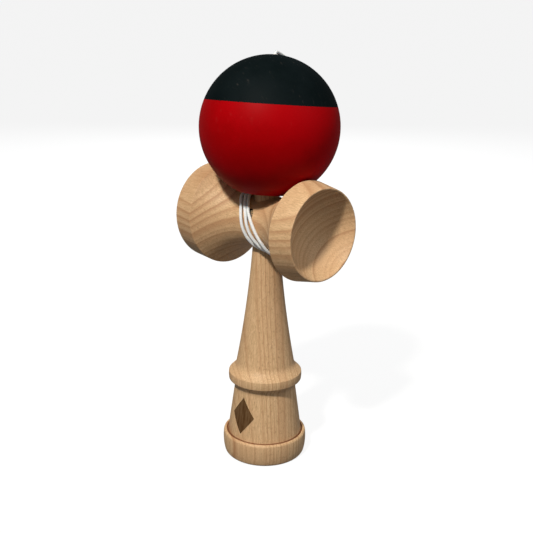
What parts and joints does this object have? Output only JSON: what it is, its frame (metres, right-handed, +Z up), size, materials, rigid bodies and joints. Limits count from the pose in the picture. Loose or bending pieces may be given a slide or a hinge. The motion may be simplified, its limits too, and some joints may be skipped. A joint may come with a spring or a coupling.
{
  "type": "kendama",
  "caption": "Wooden cup-and-ball toy: a turned handle with a spike, a double cup across it, and a two-tone ball resting on the spike, tied on by a string.",
  "frame": {"origin": "centre of the ken's foot, on the plane that it stands on; at rest this is the bottom centre of the toy's box, to within a millimetre", "axes": "+Z up along the ken and its spike, +X along the sarado's axis towards the small cup, +Y towards the side where the string climbs to the ball"},
  "size_m": [0.0713, 0.0617, 0.182],
  "materials": {
    "beech": "bare sanded beech, satin, with fine grain and flecks",
    "ball_paint": "wooden ball in grippy satin rubber paint, red with a matt black cap",
    "string_white": "braided white nylon",
    "melted_string": "string end melted to a tan bead",
    "bead_wood": "dark stained wooden bead"
  },
  "bodies": {
    "ken": {"ken": "beech", "sarado": "beech", "string_winding": "string_white", "string_riser": "string_white", "ken_end_knot": "melted_string"},
    "string_head": {"string_top": "string_white", "bead": "bead_wood", "bead_knot": "string_white"},
    "ball": {"tama": "ball_paint"}
  },
  "joints": [
    {"name": "ball_lift", "type": "slide", "parent": "ken", "child": "string_head", "axis": [0, 0, 1], "range_m": [0, 0.045], "deforming": ["string_riser"]},
    {"name": "ball_spin", "type": "hinge", "parent": "string_head", "child": "ball", "pos_m": [0.0006, 0.0006, 0.1506], "axis": [0, 0.0698, 0.9976], "continuous": true}
  ]
}
